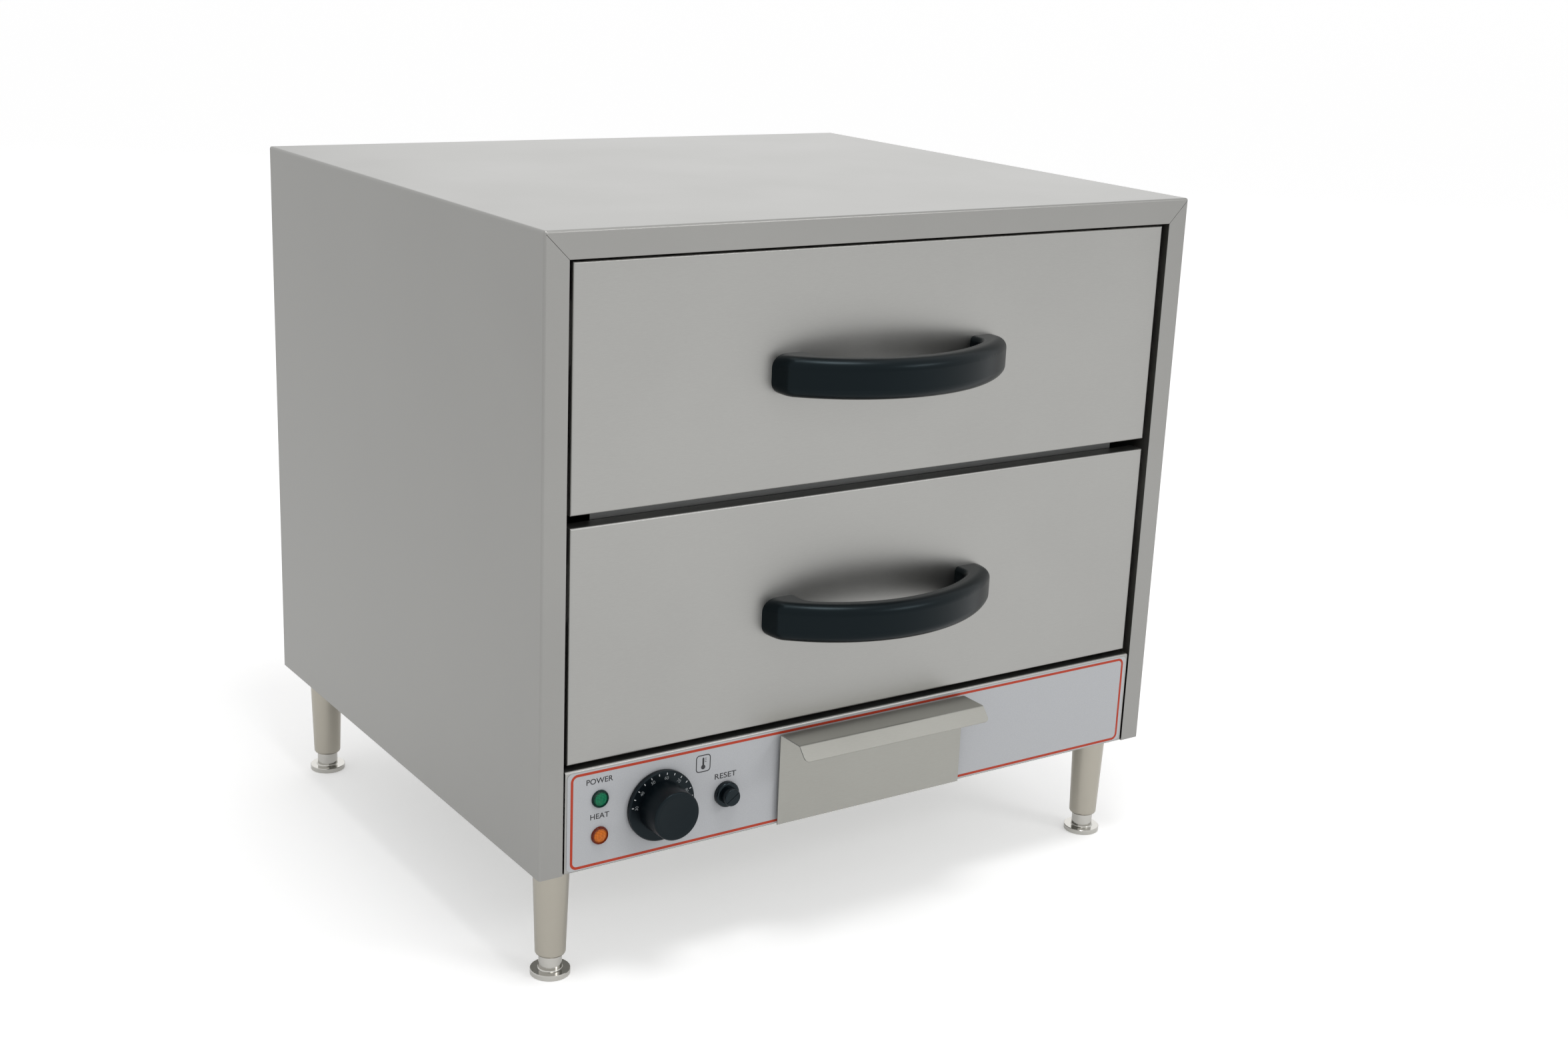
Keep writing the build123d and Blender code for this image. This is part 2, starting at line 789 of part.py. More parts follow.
def pilot_lamp(height):
    """Snap-in lamp: a domed lens on the panel and its body behind."""
    with BuildPart() as lamp:
        with BuildSketch(across(overlay_front)):
            with Locations((lamp_x, height)):
                Circle(lamp_radius)
        extrude(amount=lamp_height)
        fillet(lamp.faces().sort_by(Axis.Y)[0].edges(), lamp_height / 2)
        with BuildSketch(across(overlay_front)):
            with Locations((lamp_x, height)):
                Circle(lamp_neck_radius)
        extrude(amount=-lamp_body_length)
    return lamp


save(pilot_lamp(power_lamp_level), "power_lamp")
save(pilot_lamp(heat_lamp_level), "heat_lamp")


def shaft_section(radius):
    """Inside a sketch: the dial shaft's round section with its flat."""
    with Locations((dial_x, dial_level)):
        Circle(radius)
    with Locations((dial_x, dial_level + radius + shaft_flat)):
        Rectangle(2 * radius, 2 * radius, mode=Mode.SUBTRACT)


dial_back = overlay_front - dial_gap
dial_face = dial_back - dial_height
shaft_tip = dial_face + dial_wall

# The thermostat hangs behind the panel by its bush, which holds the shaft.
with BuildPart() as thermostat_body:
    with BuildSketch(across(panel_back)) as thermostat_case:
        with Locations((dial_x, dial_level)):
            RectangleRounded(thermostat_size, thermostat_size, bend_radius)
    extrude(amount=-thermostat_depth)
    with BuildSketch(across(panel_back)) as bush:
        with Locations((dial_x, dial_level)):
            Circle(bush_radius)
    extrude(amount=panel_back - overlay_front)
    with BuildSketch(across(overlay_front)) as shaft_bore:
        with Locations((dial_x, dial_level)):
            Circle(shaft_radius + run_fit)
    extrude(amount=-(shaft_inner + clearance), mode=Mode.SUBTRACT)
save(thermostat_body, "thermostat_body")

with BuildPart() as thermostat_shaft:
    with BuildSketch(across(overlay_front + shaft_inner)) as shaft_round:
        with Locations((dial_x, dial_level)):
            Circle(shaft_radius)
    extrude(amount=shaft_inner - dial_back + overlay_front)
    with BuildSketch(across(dial_back)) as shaft_end:
        shaft_section(shaft_radius)
    extrude(amount=dial_back - shaft_tip)
save(thermostat_shaft, "thermostat_shaft")

# The dial is one moulding: a flat skirt for the numerals and a round grip.
with BuildPart() as thermostat_knob:
    with BuildSketch(across(dial_back)) as skirt:
        with Locations((dial_x, dial_level)):
            Circle(dial_skirt_radius)
    extrude(amount=dial_skirt_thickness)
    chamfer(thermostat_knob.faces().sort_by(Axis.Y)[0].edges(), dial_skirt_bevel)
    with BuildSketch(across(dial_back - dial_skirt_thickness)) as grip:
        with Locations((dial_x, dial_level)):
            Circle(dial_grip_radius)
    extrude(amount=dial_height - dial_skirt_thickness, taper=dial_grip_draft)
    fillet(thermostat_knob.faces().sort_by(Axis.Y)[0].edges(), dial_grip_round)
    dish_sphere = (dial_dish_radius**2 + dial_dish_depth**2) / (2 * dial_dish_depth)
    dish_depth = case_front + dial_face + dial_dish_depth - dish_sphere
    with Locations((dial_x, dish_depth, case_bottom + dial_level)):
        Sphere(dish_sphere, mode=Mode.SUBTRACT)
    with BuildSketch(across(dial_back)) as dial_bore:
        shaft_section(shaft_radius + run_fit)
    extrude(amount=dial_back - shaft_tip, mode=Mode.SUBTRACT)
save(thermostat_knob, "thermostat_knob")


# ---- reset button ----
def reset_disc(depth, radius, amount, mode=Mode.ADD):
    """Inside a part: a round step on the button's axis."""
    with BuildSketch(across(depth)) as disc:
        with Locations((reset_x, reset_level)):
            Circle(radius)
    extrude(disc.sketch, amount=amount, mode=mode)


# The cutout's case and neck, behind and through the panel.
with BuildPart() as reset_body:
    with BuildSketch(across(panel_back)) as cutout_case:
        with Locations((reset_x, reset_level)):
            RectangleRounded(reset_body_size, reset_body_size, bend_radius)
    extrude(amount=-reset_body_depth)
    reset_disc(panel_back, reset_neck_radius, panel_back - overlay_front + collar_web)
    reset_disc(overlay_front - collar_web, button_stem_radius + run_fit, -reset_bore_depth, Mode.SUBTRACT)
save(reset_body, "reset_body")

# A ring nut on the neck, with a well that the button sinks into.
with BuildPart() as reset_collar:
    reset_disc(overlay_front, collar_radius, collar_height)
    fillet(reset_collar.faces().sort_by(Axis.Y)[0].edges(), collar_round)
    reset_disc(overlay_front, reset_neck_radius + run_fit, collar_height, Mode.SUBTRACT)
    reset_disc(overlay_front - collar_web, button_radius + run_fit, collar_height, Mode.SUBTRACT)
save(reset_collar, "reset_collar")

with BuildPart() as reset_button:
    button_back = overlay_front - collar_web - button_travel - clearance
    reset_disc(button_back, button_radius, button_back - overlay_front + button_reach)
    fillet(reset_button.faces().sort_by(Axis.Y)[0].edges(), button_round)
    reset_disc(button_back, button_stem_radius, -button_stem_length)
    with BuildSketch(across(overlay_front - button_reach)) as button_slot:
        with Locations((reset_x, reset_level)):
            Rectangle(2 * button_radius, slot_width, rotation=slot_turn)
    extrude(amount=-slot_depth, mode=Mode.SUBTRACT)
save(reset_button, "reset_button")


# ---- water tray ----
with BuildPart() as water_tray:
    with BuildSketch(level(tray_low)) as tray_plan:
        with Locations((0, tray_depth / 2 - tray_front_gap)):
            RectangleRounded(tray_width, tray_depth, tray_corner)
    extrude(amount=tray_height)
    fillet(water_tray.faces().sort_by(Axis.Z)[0].edges(), tray_foot_round)
    offset(amount=-tray_wall, openings=water_tray.faces().sort_by(Axis.Z)[-1])
save(water_tray, "water_tray")


def on_lip_corner(edge):
    middle = edge.center()
    at_end = abs(middle.X) > tray_front_width / 2 - run_fit
    on_lip = middle.Y < case_front - tray_front_gap - lip_reach - lip_flange / 2
    return at_end and on_lip and edge.length < 2 * sheet


# The plate in front of the tray folds forward and down into a finger lip.
with BuildPart() as water_tray_front:
    with BuildSketch(along(-tray_front_width / 2)) as lip_section:
        plate_face = -tray_front_gap - sheet
        lip_end = lip_reach + lip_flange * cos(radians(lip_angle))
        lip_drop = lip_flange * sin(radians(lip_angle))
        lip_edge = [
            (plate_face - lip_end, tray_front_high - lip_drop),
            (plate_face - lip_reach, tray_front_high),
            (plate_face + sheet, tray_front_high),
            (plate_face + sheet, tray_front_low),
        ]
        folded(lip_edge[::-1], sheet, bend_radius)
    extrude(amount=tray_front_width)
    fillet(water_tray_front.edges().filter_by(on_lip_corner), lip_corner)
save(water_tray_front, "water_tray_front")

# Two bent strips on the base carry the tray.
with BuildPart() as tray_runners:
    runner_foot = sheet + base_sheet
    runner_top = runner_foot + runner_height - sheet
    runner_edge = [
        (runner_x - runner_flange, runner_top),
        (runner_x, runner_top),
        (runner_x, runner_foot),
        (runner_x + runner_flange, runner_foot),
    ]
    for side in (-1, 1):
        with BuildSketch(across(panel_back + panel_flange)) as runner_section:
            folded([(side * x, z) for x, z in runner_edge][::side], sheet, run_bend)
        extrude(amount=-runner_length)
save(tray_runners, "tray_runners")


# ---- cable gland ----
# The mains lead enters through a gland in the back.
with BuildPart() as cable_gland:
    for depth, radius, amount in (
        (case_depth, gland_neck_radius, sheet),
        (case_depth + gland_hex_height, gland_dome_radius, -(gland_reach - gland_hex_height)),
        (case_depth - sheet, gland_flange_radius, gland_nut_height),
    ):
        with BuildSketch(across(depth)) as gland_step:
            with Locations((gland_x, gland_level)):
                Circle(radius)
        extrude(amount=amount)
    fillet(cable_gland.faces().sort_by(Axis.Y)[-1].edges(), gland_round)
    with BuildSketch(across(case_depth)) as gland_hex:
        with Locations((gland_x, gland_level)):
            RegularPolygon(gland_flange_radius, 6)
    extrude(amount=-gland_hex_height)
    with BuildSketch(across(case_depth + gland_reach)) as gland_bore:
        with Locations((gland_x, gland_level)):
            Circle(gland_bore_radius)
    extrude(amount=gland_reach + sheet + gland_nut_height, mode=Mode.SUBTRACT)
save(cable_gland, "cable_gland")


# The lead's wires end in a moulded block on the base: a bore for each wire
# from front to back, and two screw wells over each bore.
with BuildPart() as terminal_block:
    block_foot = sheet + base_sheet
    block_centre = (gland_x, case_depth - terminal_setback)
    with BuildSketch(level(block_foot)) as block_plan:
        with Locations(block_centre):
            Rectangle(terminal_length, terminal_width)
    extrude(amount=terminal_height)
    with BuildSketch(level(block_foot + terminal_height)) as screw_wells:
        with Locations(block_centre):
            with GridLocations(terminal_pitch, terminal_width / 2, terminal_ways, 2):
                Circle(terminal_screw_radius)
    extrude(amount=-terminal_screw_depth, mode=Mode.SUBTRACT)
    with BuildSketch(across(case_depth - terminal_setback - terminal_width / 2)) as wire_bores:
        with Locations((gland_x, block_foot + terminal_wire_level)):
            with GridLocations(terminal_pitch, terminal_pitch, terminal_ways, 1):
                Circle(terminal_wire_radius)
    extrude(amount=-terminal_width, mode=Mode.SUBTRACT)
save(terminal_block, "terminal_block")


# ---- legs and feet ----
def turned(x, depth, profile):
    """Part of a turned piece whose profile is (radius, height) points."""
    axis_point = (x, case_front + depth, case_bottom)
    with BuildSketch(Plane(axis_point, x_dir=(1, 0, 0), z_dir=(0, -1, 0))) as outline:
        with BuildLine():
            Polyline(*profile, close=True)
        make_face()
    revolve(outline.sketch, axis=Axis(axis_point, (0, 0, 1)))


def leg(x, depth):
    """Tapered tube with a stud above and a bore for the foot below."""
    bore_radius = stem_radius + run_fit
    bore_top = stem_length - leg_tube_length + foot_lift + clearance
    with BuildPart() as tube:
        turned(
            x,
            depth,
            [
                (0, stud_height),
                (stud_radius, stud_height),
                (stud_radius, 0),
                (leg_top_radius, 0),
                (leg_foot_radius, -leg_tube_length),
                (bore_radius, -leg_tube_length),
                (bore_radius, bore_top),
                (0, bore_top),
            ],
        )
        rim = tube.edges().group_by(Axis.Z)[0].sort_by(SortBy.RADIUS)[-1]
        fillet(rim, leg_foot_radius - bore_radius - run_fit)
    return tube


def foot(x, depth):
    """Bullet foot: a plain stem in the leg and a round pad on the bench."""
    stem_top = stem_length - leg_tube_length
    pad_top = foot_thickness - leg_height
    with BuildPart() as pad:
        turned(
            x,
            depth,
            [
                (0, stem_top),
                (stem_radius, stem_top),
                (stem_radius, pad_top),
                (foot_radius, pad_top),
                (foot_radius, -leg_height),
                (0, -leg_height),
            ],
        )
        rims = pad.edges().filter_by(GeomType.CIRCLE).group_by(Axis.Z)
        fillet(rims[1].sort_by(SortBy.RADIUS)[0], foot_neck_round)
        chamfer([rims[0][0], rims[1].sort_by(SortBy.RADIUS)[-1]], foot_bevel)
        chamfer(rims[-1], foot_bevel)
    return pad


for end, depth in zip(("front", "rear"), leg_depths):
    for side, hand in ((-1, "left"), (1, "right")):
        save(leg(side * leg_x, depth), f"leg_{end}_{hand}")
        save(foot(side * leg_x, depth), f"foot_{end}_{hand}")
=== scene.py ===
from math import atan2, cos, hypot, pi, radians, sin

import bmesh
import bpy
from mathutils import Matrix, Quaternion, Vector


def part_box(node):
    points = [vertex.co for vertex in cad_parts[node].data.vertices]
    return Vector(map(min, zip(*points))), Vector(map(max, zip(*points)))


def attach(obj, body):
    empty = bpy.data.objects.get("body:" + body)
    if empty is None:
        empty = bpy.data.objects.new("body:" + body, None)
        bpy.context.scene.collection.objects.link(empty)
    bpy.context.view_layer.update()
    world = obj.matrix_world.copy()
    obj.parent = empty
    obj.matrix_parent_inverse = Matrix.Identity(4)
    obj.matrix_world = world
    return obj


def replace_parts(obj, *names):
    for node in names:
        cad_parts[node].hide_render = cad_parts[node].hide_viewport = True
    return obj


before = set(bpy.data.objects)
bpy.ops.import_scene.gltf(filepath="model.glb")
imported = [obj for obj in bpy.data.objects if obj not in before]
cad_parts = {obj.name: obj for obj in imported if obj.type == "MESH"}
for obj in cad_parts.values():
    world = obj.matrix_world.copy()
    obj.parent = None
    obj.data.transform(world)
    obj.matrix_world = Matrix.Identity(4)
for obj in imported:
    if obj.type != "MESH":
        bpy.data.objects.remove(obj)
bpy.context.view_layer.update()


# ---- camera ----
# The photographer stood to the left in front, a little above the top.
camera_place = Vector((-0.93996, -1.47271, 0.78481))
camera_look = Vector((0.54318, 0.79134, -0.28060))
camera_roll = radians(2.47)
camera_lens = 47.07

camera = bpy.data.objects.new("camera", bpy.data.cameras.new("camera"))
bpy.context.scene.collection.objects.link(camera)
bpy.context.scene.camera = camera
camera.data.lens = camera_lens
camera.data.sensor_width = 36
camera.location = camera_place
camera.rotation_mode = "QUATERNION"
roll = Quaternion((0, 0, 1), camera_roll)
camera.rotation_quaternion = camera_look.to_track_quat("-Z", "Y") @ roll


# ---- studio ----
# A pale floor under soft lamps. The sky is white where the camera, a metal or
# a lens looks at it, and dimmer as a light. The floor glows a little for the
# camera and in reflections, so that it runs into the sky.
floor_size = 160.0
floor_colour = (0.86, 0.86, 0.86, 1)
floor_roughness = 0.9
floor_glow_seen = 0.36
floor_glow_mirrored = 0.26
sky_light = 0.7
lamps = (
    ("top_lamp", (-0.2, -0.75, 2.6), (-0.05, -0.3, 0.4), 0.8, 16.5),
    ("back_lamp", (2.5, 3.6, 1.9), (0, 0, 0.58), 3.2, 9.5),
    ("floor_lamp", (1.5, -2.6, 1.9), (1.4, -2.5, 0), 1.0, 19),
)


def shader(name):
    """A new material, its nodes, its links and its Principled shader."""
    material = bpy.data.materials.new(name)
    material.use_nodes = True
    tree = material.node_tree
    return material, tree.nodes, tree.links, tree.nodes["Principled BSDF"]


floor_mesh = bpy.data.meshes.new("floor")
half = floor_size / 2
floor_corners = [(-half, -half, 0), (half, -half, 0), (half, half, 0), (-half, half, 0)]
floor_mesh.from_pydata(floor_corners, [], [(0, 1, 2, 3)])
floor = bpy.data.objects.new("floor", floor_mesh)
bpy.context.scene.collection.objects.link(floor)
floor_paint, nodes, links, surface = shader("floor_paint")
surface.inputs["Base Color"].default_value = floor_colour
surface.inputs["Roughness"].default_value = floor_roughness
surface.inputs["Emission Color"].default_value = (1, 1, 1, 1)
rays = nodes.new("ShaderNodeLightPath")
mirrored = nodes.new("ShaderNodeMath")
mirrored.operation = "MULTIPLY"
mirrored.inputs[1].default_value = floor_glow_mirrored
links.new(rays.outputs["Is Glossy Ray"], mirrored.inputs[0])
glow = nodes.new("ShaderNodeMath")
glow.operation = "MULTIPLY_ADD"
glow.inputs[1].default_value = floor_glow_seen
links.new(rays.outputs["Is Camera Ray"], glow.inputs[0])
links.new(mirrored.outputs[0], glow.inputs[2])
links.new(glow.outputs[0], surface.inputs["Emission Strength"])
floor_mesh.materials.append(floor_paint)

world = bpy.data.worlds.new("studio")
bpy.context.scene.world = world
world.use_nodes = True
nodes, links = world.node_tree.nodes, world.node_tree.links
rays = nodes.new("ShaderNodeLightPath")
seen = nodes.new("ShaderNodeMath")
seen.operation = "MAXIMUM"
links.new(rays.outputs["Is Camera Ray"], seen.inputs[0])
links.new(rays.outputs["Is Glossy Ray"], seen.inputs[1])
white = nodes.new("ShaderNodeMath")
white.operation = "MAXIMUM"
links.new(seen.outputs[0], white.inputs[0])
links.new(rays.outputs["Is Transmission Ray"], white.inputs[1])
strength = nodes.new("ShaderNodeMapRange")
strength.inputs["To Min"].default_value = sky_light
links.new(white.outputs[0], strength.inputs["Value"])
nodes["Background"].inputs["Color"].default_value = (1, 1, 1, 1)
links.new(strength.outputs["Result"], nodes["Background"].inputs["Strength"])

for name, spot, aim, size, power in lamps:
    lamp = bpy.data.objects.new(name, bpy.data.lights.new(name, "AREA"))
    bpy.context.scene.collection.objects.link(lamp)
    lamp.data.shape = "DISK"
    lamp.data.size = size
    lamp.data.energy = power
    lamp.location = spot
    lamp.rotation_mode = "QUATERNION"
    lamp.rotation_quaternion = (Vector(aim) - Vector(spot)).to_track_quat("-Z", "Y")

bpy.context.scene.view_settings.view_transform = "Standard"


# ---- casing ----
# One stainless sheet folded over the top and both sides, with a flange turned
# in round the front. Satin finish, its fine grain running from front to back.
casing_colour = (0.324, 0.322, 0.31, 1)
casing_shade = (0.3, 0.298, 0.287, 1)
casing_roughness = (0.34, 0.40)
scratch_scale = 4000
cloud_scale = 9
noise_low = 0.7
noise_high = 1.3
scratch_depth = 0.0002


def steel(name, colour, shade, roughness, grain, streak, bump=0.03):
    """Satin steel whose grain runs along one axis, with faint cloudy patches."""
    material, nodes, links, surface = shader(name)
    surface.inputs["Metallic"].default_value = 1
    spot = nodes.new("ShaderNodeTexCoord")
    stretch = nodes.new("ShaderNodeMapping")
    stretch.inputs["Scale"].default_value = tuple(streak if axis == grain else 1 for axis in "XYZ")
    links.new(spot.outputs["Object"], stretch.inputs["Vector"])
    scratches = nodes.new("ShaderNodeTexNoise")
    scratches.inputs["Scale"].default_value = scratch_scale
    scratches.inputs["Detail"].default_value = 3
    links.new(stretch.outputs["Vector"], scratches.inputs["Vector"])
    clouds = nodes.new("ShaderNodeTexNoise")
    clouds.inputs["Scale"].default_value = cloud_scale
    clouds.inputs["Detail"].default_value = 4
    links.new(spot.outputs["Object"], clouds.inputs["Vector"])
    blend = nodes.new("ShaderNodeMath")
    blend.operation = "ADD"
    links.new(scratches.outputs["Fac"], blend.inputs[0])
    links.new(clouds.outputs["Fac"], blend.inputs[1])
    tone = nodes.new("ShaderNodeMapRange")
    tone.inputs["From Min"].default_value = noise_low
    tone.inputs["From Max"].default_value = noise_high
    links.new(blend.outputs[0], tone.inputs["Value"])
    paint = nodes.new("ShaderNodeMix")
    paint.data_type = "RGBA"
    paint.inputs["A"].default_value = shade
    paint.inputs["B"].default_value = colour
    links.new(tone.outputs["Result"], paint.inputs["Factor"])
    links.new(paint.outputs["Result"], surface.inputs["Base Color"])
    rough = nodes.new("ShaderNodeMapRange")
    rough.inputs["From Min"].default_value = noise_low
    rough.inputs["From Max"].default_value = noise_high
    rough.inputs["To Min"].default_value = roughness[0]
    rough.inputs["To Max"].default_value = roughness[1]
    links.new(blend.outputs[0], rough.inputs["Value"])
    links.new(rough.outputs["Result"], surface.inputs["Roughness"])
    relief = nodes.new("ShaderNodeBump")
    relief.inputs["Strength"].default_value = bump
    relief.inputs["Distance"].default_value = scratch_depth
    links.new(scratches.outputs["Fac"], relief.inputs["Height"])
    links.new(relief.outputs["Normal"], surface.inputs["Normal"])
    return material


def paint_nodes(material, *names):
    """Gives a finish to CAD nodes."""
    for name in names:
        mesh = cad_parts[name].data
        mesh.materials.clear()
        mesh.materials.append(material)


casing_steel = steel(
    "casing_steel", colour=casing_colour, shade=casing_shade, roughness=casing_roughness,
    grain="Y", streak=0.06, bump=0.01,
)
paint_nodes(casing_steel, "outer_wrapper")


# ---- back panel ----
# A shallow pan of the same sheet, slipped into the casing and held by
# button-head screws round its edge, each with a round socket in its head.
back_steel = steel(
    "back_steel", colour=(0.53, 0.525, 0.505, 1), shade=(0.48, 0.475, 0.455, 1),
    roughness=(0.3, 0.4), grain="X", streak=0.03,
)
screw_inset = 0.011
screw_radius = 0.0036
screw_height = 0.0018
screw_socket = 0.0013
screw_lip = 0.95 * screw_height
screws_across = 4
screws_down = 3
paint_nodes(back_steel, "rear_panel")


def place(name, mesh, material, body):
    """Puts a finished mesh in the scene, on its body."""
    mesh.materials.append(material)
    piece = bpy.data.objects.new(name, mesh)
    bpy.context.scene.collection.objects.link(piece)
    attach(piece, body)
    return piece


def lathe(shape, profile, steps=48):
    """Turns (radius, height) points about Z into a closed skin."""
    rings = []
    for radius, height in profile:
        if radius == 0:
            rings.append([shape.verts.new((0, 0, height))] * steps)
        else:
            turns = (2 * pi * step / steps for step in range(steps))
            circle = ((radius * cos(a), radius * sin(a), height) for a in turns)
            rings.append([shape.verts.new(point) for point in circle])
    for low, high in zip(rings, rings[1:]):
        for step in range(steps):
            after = (step + 1) % steps
            corners = (low[step], low[after], high[after], high[step])
            shape.faces.new(dict.fromkeys(corners))


def finished(shape, name, smooth_angle=35):
    """The mesh of a bmesh, with its curved faces shaded smooth."""
    bmesh.ops.recalc_face_normals(shape, faces=shape.faces)
    mesh = bpy.data.meshes.new(name)
    shape.to_mesh(mesh)
    shape.free()
    for face in mesh.polygons:
        face.use_smooth = True
    mesh.set_sharp_from_angle(angle=radians(smooth_angle))
    return mesh


def button_screw():
    """A button-head screw on Z, with a socket in its head."""
    shape = bmesh.new()
    slopes = (radians(15 * n) for n in range(5))
    dome = [(screw_radius * cos(a), screw_height * sin(a)) for a in slopes]
    socket = ((screw_socket, screw_lip), (screw_socket, screw_lip / 3), (0, screw_lip / 4))
    lathe(shape, [(0, 0), *dome, *socket])
    return shape


back_low, back_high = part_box("rear_panel")
screw_places = set()
for column in range(screws_across):
    for z in (back_low.z + screw_inset, back_high.z - screw_inset):
        span = back_high.x - back_low.x - 2 * screw_inset
        screw_places.add((back_low.x + screw_inset + span * column / (screws_across - 1), z))
for row in range(1, screws_down):
    share = row / screws_down
    for x in (back_low.x + screw_inset, back_high.x - screw_inset):
        screw_places.add((x, back_low.z + share * (back_high.z - back_low.z)))
back_screws = bmesh.new()
for x, z in sorted(screw_places):
    one = button_screw()
    home = Matrix.Translation((x, back_high.y, z)) @ Matrix.Rotation(-pi / 2, 4, "X")
    bmesh.ops.transform(one, matrix=home, verts=one.verts)
    joined = bpy.data.meshes.new("screw")
    one.to_mesh(joined)
    one.free()
    back_screws.from_mesh(joined)
zinc = steel(
    "zinc", colour=(0.6, 0.6, 0.6, 1), shade=(0.5, 0.5, 0.5, 1), roughness=(0.2, 0.3),
    grain="Z", streak=1,
)
place("back_screws", finished(back_screws, "back_screws"), zinc, "case")


# ---- base and rail ----
# Heavier sheet, mill finish, folded under the case and across its front; the
# rail between the drawers is painted dark for the shade in the gap between the fronts.
inner_steel = steel(
    "inner_steel", colour=(0.5, 0.5, 0.48, 1), shade=(0.44, 0.44, 0.42, 1),
    roughness=(0.3, 0.42), grain="X", streak=0.04,
)
paint_nodes(inner_steel, "base_pan", "tray_runners")
# Painted shade: the rail's steel is given a dark colour for the shade it sits in between the
# drawer fronts.
rail_steel_painted_shade = steel(
    "rail_steel_painted_shade", colour=(0.125, 0.128, 0.128, 1), shade=(0.1, 0.103, 0.103, 1),
    roughness=(0.35, 0.45), grain="X", streak=0.04,
)
paint_nodes(rail_steel_painted_shade, "middle_rail")


# ---- heated cavity ----
# Stainless liner, a sheathed element that has gone brown with heat, saddles,
# the thermostat's bulb and yellow mineral wool behind the liner.
liner_steel = steel(
    "liner_steel", colour=(0.52, 0.51, 0.48, 1), shade=(0.46, 0.45, 0.42, 1),
    roughness=(0.32, 0.45), grain="Y", streak=0.04,
)
paint_nodes(liner_steel, "liner_left", "liner_right", "liner_top", "liner_back", "liner_floor")
sheath = steel(
    "sheath", colour=(0.16, 0.13, 0.1, 1), shade=(0.09, 0.075, 0.065, 1), roughness=(0.4, 0.6),
    grain="X", streak=0.2,
)
paint_nodes(sheath, "heating_element")
paint_nodes(zinc, "element_clips", "thermostat_bulb")


def rough_solid(
    name, colour, shade, roughness, scale, bump, distance, specular=0.5, tint=(1, 1, 1, 1)
):
    """Plastic or fibre: two close tones, and a grain of the scale given."""
    material, nodes, links, surface = shader(name)
    surface.inputs["Specular Tint"].default_value = tint
    surface.inputs["Specular IOR Level"].default_value = specular
    surface.inputs["Roughness"].default_value = roughness
    spot = nodes.new("ShaderNodeTexCoord")
    grain = nodes.new("ShaderNodeTexNoise")
    grain.inputs["Scale"].default_value = scale
    grain.inputs["Detail"].default_value = 3
    links.new(spot.outputs["Object"], grain.inputs["Vector"])
    paint = nodes.new("ShaderNodeMix")
    paint.data_type = "RGBA"
    paint.inputs["A"].default_value = shade
    paint.inputs["B"].default_value = colour
    links.new(grain.outputs["Fac"], paint.inputs["Factor"])
    links.new(paint.outputs["Result"], surface.inputs["Base Color"])
    relief = nodes.new("ShaderNodeBump")
    relief.inputs["Strength"].default_value = bump
    relief.inputs["Distance"].default_value = distance
    links.new(grain.outputs["Fac"], relief.inputs["Height"])
    links.new(relief.outputs["Normal"], surface.inputs["Normal"])
    return material


wool = rough_solid(
    "wool", colour=(0.62, 0.52, 0.3, 1), shade=(0.42, 0.34, 0.18, 1), roughness=0.95, scale=260,
    bump=0.8, distance=0.002,
)
paint_nodes(wool, "insulation_slabs")


# ---- drawer slides ----
# Three rolled channels of bright zinc-plated steel on each side of each
# drawer: one screwed to the liner, one to the carriage, one between them.
slide_steel = steel(
    "slide_steel", colour=(0.56, 0.56, 0.57, 1), shade=(0.48, 0.48, 0.49, 1),
    roughness=(0.22, 0.34), grain="Y", streak=0.02,
)
for drawer in ("upper", "lower"):
    for member in ("outer", "middle", "inner"):
        for hand in ("left", "right"):
            paint_nodes(slide_steel, f"{drawer}_slide_{member}_{hand}")


# ---- drawer fronts ----
# Folded stainless fronts, satin, with the grain across. Each is closed behind
# by an inner skin of liner steel.
front_steel = steel(
    "front_steel", colour=(0.375, 0.373, 0.36, 1), shade=(0.348, 0.346, 0.334, 1),
    roughness=(0.34, 0.40), grain="X", streak=0.06, bump=0.01,
)
paint_nodes(front_steel, "upper_drawer_front", "lower_drawer_front")
paint_nodes(liner_steel, "upper_front_liner", "lower_front_liner")


# ---- handles ----
# Black moulded bows with a satin skin, held by two screws from inside each
# front. Their black and their gloss carry a painted cool blue reflection.
painted_cool_reflection = (0.68, 0.9, 1, 1)
handle_black = rough_solid(
    "handle_black", colour=(0.0003, 0.0016, 0.0024, 1), shade=(0.0002, 0.001, 0.0016, 1),
    roughness=0.3, scale=2600, bump=0.1, distance=0.0002, specular=0.19, tint=painted_cool_reflection,
)
paint_nodes(handle_black, "upper_handle", "lower_handle")
paint_nodes(zinc, "upper_handle_screws", "lower_handle_screws")


# ---- carriages and food pans ----
# A folded stainless frame on the inner slides carries a deep-drawn stainless
# pan, which hangs in it by its rim.
pan_steel = steel(
    "pan_steel", colour=(0.62, 0.615, 0.6, 1), shade=(0.55, 0.545, 0.53, 1),
    roughness=(0.18, 0.3), grain="X", streak=0.05,
)
paint_nodes(pan_steel, "upper_food_pan", "lower_food_pan")
paint_nodes(liner_steel, "upper_carriage", "lower_carriage")


